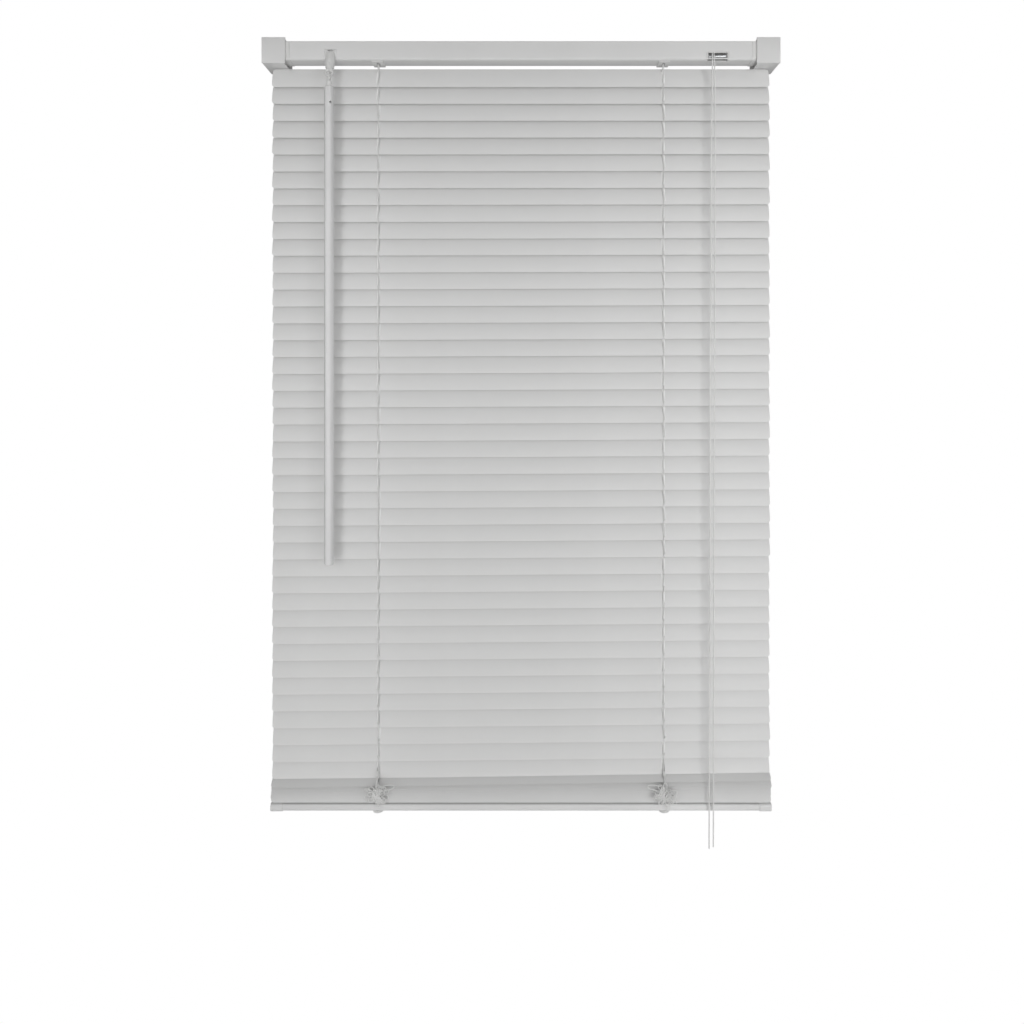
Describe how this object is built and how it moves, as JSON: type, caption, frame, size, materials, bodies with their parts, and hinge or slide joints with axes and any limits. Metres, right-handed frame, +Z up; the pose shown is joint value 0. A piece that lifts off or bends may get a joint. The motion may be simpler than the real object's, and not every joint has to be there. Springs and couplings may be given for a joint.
{
  "type": "venetian blind",
  "caption": "Venetian blind in box brackets with a headrail, closed crowned slats on string ladders, a bottom rail, a tilt wand and pull cords, partly raised.",
  "frame": {"origin": "in the wall plane, level with the brackets' tops, midway between the brackets", "axes": "+X to the right as seen from the room, +Y into the wall, +Z up"},
  "size_m": [0.6416, 0.0519, 1.003],
  "materials": {
    "slat_vinyl": "satin",
    "rail_vinyl": "satin",
    "white_paint": "satin",
    "wand_plastic": "gloss",
    "nylon": "satin",
    "steel": "satin",
    "string": "matte"
  },
  "bodies": {
    "root": {"headrail": "white_paint", "bracket_left": "white_paint", "bracket_right": "white_paint", "tilter_housing": "nylon", "cord_lock": "nylon", "ladder_left": "string", "ladder_right": "string", "lift_cord_left": "string", "lift_cord_right": "string"},
    "door_left": {"bracket_door_left": "white_paint"},
    "door_right": {"bracket_door_right": "white_paint"},
    "tilt_rod": {"tilt_rod": "steel"},
    "worm": {"tilter_worm": "nylon"},
    "wand": {"wand": "wand_plastic"},
    "lock_roller": {"cord_lock_roller": "steel"},
    "pull_cords": {"pull_cords": "string"},
    "bottom_rail": {"bottom_rail": "rail_vinyl", "stacked_slats": "slat_vinyl"},
    "slat_01": {"slat_01": "slat_vinyl"},
    "slat_02": {"slat_02": "slat_vinyl"},
    "slat_03": {"slat_03": "slat_vinyl"},
    "slat_04": {"slat_04": "slat_vinyl"},
    "slat_05": {"slat_05": "slat_vinyl"},
    "slat_06": {"slat_06": "slat_vinyl"},
    "slat_07": {"slat_07": "slat_vinyl"},
    "slat_08": {"slat_08": "slat_vinyl"},
    "slat_09": {"slat_09": "slat_vinyl"},
    "slat_10": {"slat_10": "slat_vinyl"},
    "slat_11": {"slat_11": "slat_vinyl"},
    "slat_12": {"slat_12": "slat_vinyl"},
    "slat_13": {"slat_13": "slat_vinyl"},
    "slat_14": {"slat_14": "slat_vinyl"},
    "slat_15": {"slat_15": "slat_vinyl"},
    "slat_16": {"slat_16": "slat_vinyl"},
    "slat_17": {"slat_17": "slat_vinyl"},
    "slat_18": {"slat_18": "slat_vinyl"},
    "slat_19": {"slat_19": "slat_vinyl"},
    "slat_20": {"slat_20": "slat_vinyl"},
    "slat_21": {"slat_21": "slat_vinyl"},
    "slat_22": {"slat_22": "slat_vinyl"},
    "slat_23": {"slat_23": "slat_vinyl"},
    "slat_24": {"slat_24": "slat_vinyl"},
    "slat_25": {"slat_25": "slat_vinyl"},
    "slat_26": {"slat_26": "slat_vinyl"},
    "slat_27": {"slat_27": "slat_vinyl"},
    "slat_28": {"slat_28": "slat_vinyl"},
    "slat_29": {"slat_29": "slat_vinyl"},
    "slat_30": {"slat_30": "slat_vinyl"},
    "slat_31": {"slat_31": "slat_vinyl"},
    "slat_32": {"slat_32": "slat_vinyl"},
    "slat_33": {"slat_33": "slat_vinyl"},
    "slat_34": {"slat_34": "slat_vinyl"},
    "slat_35": {"slat_35": "slat_vinyl"},
    "slat_36": {"slat_36": "slat_vinyl"},
    "slat_37": {"slat_37": "slat_vinyl"},
    "slat_38": {"slat_38": "slat_vinyl"},
    "slat_39": {"slat_39": "slat_vinyl"},
    "slat_40": {"slat_40": "slat_vinyl"},
    "slat_41": {"slat_41": "slat_vinyl"},
    "slat_42": {"slat_42": "slat_vinyl"}
  },
  "joints": [
    {"name": "tilt", "type": "hinge", "parent": "root", "child": "tilt_rod", "pos_m": [0, -0.024, -0.015], "axis": [-1, 0, 0], "range_deg": [0, 180], "deforming": ["ladder_left", "ladder_right"]},
    {"name": "worm_spin", "type": "hinge", "parent": "root", "child": "worm", "pos_m": [-0.236, -0.03218, -0.01202], "axis": [0, -0.342, -0.9397], "range_deg": [0, 2160]},
    {"name": "wand_spin", "type": "hinge", "parent": "root", "child": "wand", "pos_m": [-0.236, -0.04611, -0.05032], "axis": [0, 0, -1], "range_deg": [0, 2160]},
    {"name": "door_left_swing", "type": "hinge", "parent": "root", "child": "door_left", "pos_m": [-0.32, -0.0394, -0.016], "axis": [0, 0, -1], "range_deg": [0, 100]},
    {"name": "door_right_swing", "type": "hinge", "parent": "root", "child": "door_right", "pos_m": [0.32, -0.0394, -0.016], "axis": [0, 0, 1], "range_deg": [0, 100]},
    {"name": "roller_turn", "type": "hinge", "parent": "root", "child": "lock_roller", "pos_m": [0.244, -0.0322, -0.0212], "axis": [1, 0, 0], "continuous": true},
    {"name": "lift", "type": "slide", "parent": "root", "child": "bottom_rail", "axis": [0, 0, 1], "range_m": [-0.14, 0], "deforming": ["lift_cord_left", "lift_cord_right"]},
    {"name": "pull", "type": "slide", "parent": "root", "child": "pull_cords", "axis": [0, 0, -1], "range_m": [-0.14, 0], "deforming": ["pull_cords"]},
    {"name": "slat_01_tilt", "type": "hinge", "parent": "root", "child": "slat_01", "pos_m": [0, -0.024, -0.0454], "axis": [-1, 0, 0], "range_deg": [0, 150]},
    {"name": "slat_02_tilt", "type": "hinge", "parent": "root", "child": "slat_02", "pos_m": [0, -0.024, -0.06643], "axis": [-1, 0, -0.0003], "range_deg": [0, 150]},
    {"name": "slat_03_tilt", "type": "hinge", "parent": "root", "child": "slat_03", "pos_m": [0, -0.024, -0.08746], "axis": [-1, 0, -0.0005], "range_deg": [0, 150]},
    {"name": "slat_04_tilt", "type": "hinge", "parent": "root", "child": "slat_04", "pos_m": [0, -0.024, -0.10849], "axis": [-1, 0, -0.0008], "range_deg": [0, 150]},
    {"name": "slat_05_tilt", "type": "hinge", "parent": "root", "child": "slat_05", "pos_m": [0, -0.024, -0.12952], "axis": [-1, 0, -0.001], "range_deg": [0, 150]},
    {"name": "slat_06_tilt", "type": "hinge", "parent": "root", "child": "slat_06", "pos_m": [0, -0.024, -0.15055], "axis": [-1, 0, -0.0013], "range_deg": [0, 150]},
    {"name": "slat_07_tilt", "type": "hinge", "parent": "root", "child": "slat_07", "pos_m": [0, -0.024, -0.17158], "axis": [-1, 0, -0.0015], "range_deg": [0, 150]},
    {"name": "slat_08_tilt", "type": "hinge", "parent": "root", "child": "slat_08", "pos_m": [0, -0.024, -0.19261], "axis": [-1, 0, -0.0018], "range_deg": [0, 150]},
    {"name": "slat_09_tilt", "type": "hinge", "parent": "root", "child": "slat_09", "pos_m": [0, -0.024, -0.21364], "axis": [-1, 0, -0.002], "range_deg": [0, 150]},
    {"name": "slat_10_tilt", "type": "hinge", "parent": "root", "child": "slat_10", "pos_m": [0, -0.024, -0.23467], "axis": [-1, 0, -0.0023], "range_deg": [0, 150]},
    {"name": "slat_11_tilt", "type": "hinge", "parent": "root", "child": "slat_11", "pos_m": [0, -0.024, -0.2557], "axis": [-1, 0, -0.0025], "range_deg": [0, 150]},
    {"name": "slat_12_tilt", "type": "hinge", "parent": "root", "child": "slat_12", "pos_m": [0, -0.024, -0.27673], "axis": [-1, 0, -0.0028], "range_deg": [0, 150]},
    {"name": "slat_13_tilt", "type": "hinge", "parent": "root", "child": "slat_13", "pos_m": [0, -0.024, -0.29776], "axis": [-1, 0, -0.003], "range_deg": [0, 150]},
    {"name": "slat_14_tilt", "type": "hinge", "parent": "root", "child": "slat_14", "pos_m": [0, -0.024, -0.31879], "axis": [-1, 0, -0.0033], "range_deg": [0, 150]},
    {"name": "slat_15_tilt", "type": "hinge", "parent": "root", "child": "slat_15", "pos_m": [0, -0.024, -0.33982], "axis": [-1, 0, -0.0035], "range_deg": [0, 150]},
    {"name": "slat_16_tilt", "type": "hinge", "parent": "root", "child": "slat_16", "pos_m": [0, -0.024, -0.36085], "axis": [-1, 0, -0.0038], "range_deg": [0, 150]},
    {"name": "slat_17_tilt", "type": "hinge", "parent": "root", "child": "slat_17", "pos_m": [0, -0.024, -0.38188], "axis": [-1, 0, -0.004], "range_deg": [0, 150]},
    {"name": "slat_18_tilt", "type": "hinge", "parent": "root", "child": "slat_18", "pos_m": [0, -0.024, -0.40291], "axis": [-1, 0, -0.0043], "range_deg": [0, 150]},
    {"name": "slat_19_tilt", "type": "hinge", "parent": "root", "child": "slat_19", "pos_m": [0, -0.024, -0.42394], "axis": [-1, 0, -0.0045], "range_deg": [0, 150]},
    {"name": "slat_20_tilt", "type": "hinge", "parent": "root", "child": "slat_20", "pos_m": [0, -0.024, -0.44497], "axis": [-1, 0, -0.0048], "range_deg": [0, 150]},
    {"name": "slat_21_tilt", "type": "hinge", "parent": "root", "child": "slat_21", "pos_m": [0, -0.024, -0.466], "axis": [-1, 0, -0.005], "range_deg": [0, 150]},
    {"name": "slat_22_tilt", "type": "hinge", "parent": "root", "child": "slat_22", "pos_m": [0, -0.024, -0.48703], "axis": [-1, 0, -0.0053], "range_deg": [0, 150]},
    {"name": "slat_23_tilt", "type": "hinge", "parent": "root", "child": "slat_23", "pos_m": [0, -0.024, -0.50806], "axis": [-1, 0, -0.0055], "range_deg": [0, 150]},
    {"name": "slat_24_tilt", "type": "hinge", "parent": "root", "child": "slat_24", "pos_m": [0, -0.024, -0.52909], "axis": [-1, 0, -0.0058], "range_deg": [0, 150]},
    {"name": "slat_25_tilt", "type": "hinge", "parent": "root", "child": "slat_25", "pos_m": [0, -0.024, -0.55012], "axis": [-1, 0, -0.0061], "range_deg": [0, 150]},
    {"name": "slat_26_tilt", "type": "hinge", "parent": "root", "child": "slat_26", "pos_m": [0, -0.024, -0.57115], "axis": [-1, 0, -0.0063], "range_deg": [0, 150]},
    {"name": "slat_27_tilt", "type": "hinge", "parent": "root", "child": "slat_27", "pos_m": [0, -0.024, -0.59218], "axis": [-1, 0, -0.0066], "range_deg": [0, 150]},
    {"name": "slat_28_tilt", "type": "hinge", "parent": "root", "child": "slat_28", "pos_m": [0, -0.024, -0.61321], "axis": [-1, 0, -0.0068], "range_deg": [0, 150]},
    {"name": "slat_29_tilt", "type": "hinge", "parent": "root", "child": "slat_29", "pos_m": [0, -0.024, -0.63424], "axis": [-1, 0, -0.0071], "range_deg": [0, 150]},
    {"name": "slat_30_tilt", "type": "hinge", "parent": "root", "child": "slat_30", "pos_m": [0, -0.024, -0.65527], "axis": [-1, 0, -0.0073], "range_deg": [0, 150]},
    {"name": "slat_31_tilt", "type": "hinge", "parent": "root", "child": "slat_31", "pos_m": [0, -0.024, -0.6763], "axis": [-1, 0, -0.0076], "range_deg": [0, 150]},
    {"name": "slat_32_tilt", "type": "hinge", "parent": "root", "child": "slat_32", "pos_m": [0, -0.024, -0.69733], "axis": [-1, 0, -0.0078], "range_deg": [0, 150]},
    {"name": "slat_33_tilt", "type": "hinge", "parent": "root", "child": "slat_33", "pos_m": [0, -0.024, -0.71836], "axis": [-1, 0, -0.0081], "range_deg": [0, 150]},
    {"name": "slat_34_tilt", "type": "hinge", "parent": "root", "child": "slat_34", "pos_m": [0, -0.024, -0.73939], "axis": [-1, 0, -0.0083], "range_deg": [0, 150]},
    {"name": "slat_35_tilt", "type": "hinge", "parent": "root", "child": "slat_35", "pos_m": [0, -0.024, -0.76042], "axis": [-1, 0, -0.0086], "range_deg": [0, 150]},
    {"name": "slat_36_tilt", "type": "hinge", "parent": "root", "child": "slat_36", "pos_m": [0, -0.024, -0.78145], "axis": [-1, 0, -0.0088], "range_deg": [0, 150]},
    {"name": "slat_37_tilt", "type": "hinge", "parent": "root", "child": "slat_37", "pos_m": [0, -0.024, -0.80248], "axis": [-1, 0, -0.0091], "range_deg": [0, 150]},
    {"name": "slat_38_tilt", "type": "hinge", "parent": "root", "child": "slat_38", "pos_m": [0, -0.024, -0.82351], "axis": [-1, 0, -0.0093], "range_deg": [0, 150]},
    {"name": "slat_39_tilt", "type": "hinge", "parent": "root", "child": "slat_39", "pos_m": [0, -0.024, -0.84454], "axis": [-1, 0, -0.0096], "range_deg": [0, 150]},
    {"name": "slat_40_tilt", "type": "hinge", "parent": "root", "child": "slat_40", "pos_m": [0, -0.024, -0.86557], "axis": [-1, 0, -0.0098], "range_deg": [0, 150]},
    {"name": "slat_41_tilt", "type": "hinge", "parent": "root", "child": "slat_41", "pos_m": [0, -0.024, -0.8866], "axis": [-0.9999, 0, -0.0101], "range_deg": [0, 150]},
    {"name": "slat_42_tilt", "type": "hinge", "parent": "root", "child": "slat_42", "pos_m": [0, -0.024, -0.90763], "axis": [-0.9999, 0, -0.0103], "range_deg": [0, 150]}
  ],
  "couplings": [
    {"joint": "worm_spin", "follows": "tilt", "ratio": 12},
    {"joint": "wand_spin", "follows": "tilt", "ratio": 12},
    {"joint": "pull", "follows": "lift", "ratio": 1},
    {"joint": "slat_01_tilt", "follows": "tilt", "ratio": 0.83333},
    {"joint": "slat_02_tilt", "follows": "tilt", "ratio": 0.83333},
    {"joint": "slat_03_tilt", "follows": "tilt", "ratio": 0.83333},
    {"joint": "slat_04_tilt", "follows": "tilt", "ratio": 0.83333},
    {"joint": "slat_05_tilt", "follows": "tilt", "ratio": 0.83333},
    {"joint": "slat_06_tilt", "follows": "tilt", "ratio": 0.83333},
    {"joint": "slat_07_tilt", "follows": "tilt", "ratio": 0.83333},
    {"joint": "slat_08_tilt", "follows": "tilt", "ratio": 0.83333},
    {"joint": "slat_09_tilt", "follows": "tilt", "ratio": 0.83333},
    {"joint": "slat_10_tilt", "follows": "tilt", "ratio": 0.83333},
    {"joint": "slat_11_tilt", "follows": "tilt", "ratio": 0.83333},
    {"joint": "slat_12_tilt", "follows": "tilt", "ratio": 0.83333},
    {"joint": "slat_13_tilt", "follows": "tilt", "ratio": 0.83333},
    {"joint": "slat_14_tilt", "follows": "tilt", "ratio": 0.83333},
    {"joint": "slat_15_tilt", "follows": "tilt", "ratio": 0.83333},
    {"joint": "slat_16_tilt", "follows": "tilt", "ratio": 0.83333},
    {"joint": "slat_17_tilt", "follows": "tilt", "ratio": 0.83333},
    {"joint": "slat_18_tilt", "follows": "tilt", "ratio": 0.83333},
    {"joint": "slat_19_tilt", "follows": "tilt", "ratio": 0.83333},
    {"joint": "slat_20_tilt", "follows": "tilt", "ratio": 0.83333},
    {"joint": "slat_21_tilt", "follows": "tilt", "ratio": 0.83333},
    {"joint": "slat_22_tilt", "follows": "tilt", "ratio": 0.83333},
    {"joint": "slat_23_tilt", "follows": "tilt", "ratio": 0.83333},
    {"joint": "slat_24_tilt", "follows": "tilt", "ratio": 0.83333},
    {"joint": "slat_25_tilt", "follows": "tilt", "ratio": 0.83333},
    {"joint": "slat_26_tilt", "follows": "tilt", "ratio": 0.83333},
    {"joint": "slat_27_tilt", "follows": "tilt", "ratio": 0.83333},
    {"joint": "slat_28_tilt", "follows": "tilt", "ratio": 0.83333},
    {"joint": "slat_29_tilt", "follows": "tilt", "ratio": 0.83333},
    {"joint": "slat_30_tilt", "follows": "tilt", "ratio": 0.83333},
    {"joint": "slat_31_tilt", "follows": "tilt", "ratio": 0.83333},
    {"joint": "slat_32_tilt", "follows": "tilt", "ratio": 0.83333},
    {"joint": "slat_33_tilt", "follows": "tilt", "ratio": 0.83333},
    {"joint": "slat_34_tilt", "follows": "tilt", "ratio": 0.83333},
    {"joint": "slat_35_tilt", "follows": "tilt", "ratio": 0.83333},
    {"joint": "slat_36_tilt", "follows": "tilt", "ratio": 0.83333},
    {"joint": "slat_37_tilt", "follows": "tilt", "ratio": 0.83333},
    {"joint": "slat_38_tilt", "follows": "tilt", "ratio": 0.83333},
    {"joint": "slat_39_tilt", "follows": "tilt", "ratio": 0.83333},
    {"joint": "slat_40_tilt", "follows": "tilt", "ratio": 0.83333},
    {"joint": "slat_41_tilt", "follows": "tilt", "ratio": 0.83333},
    {"joint": "slat_42_tilt", "follows": "tilt", "ratio": 0.83333}
  ]
}
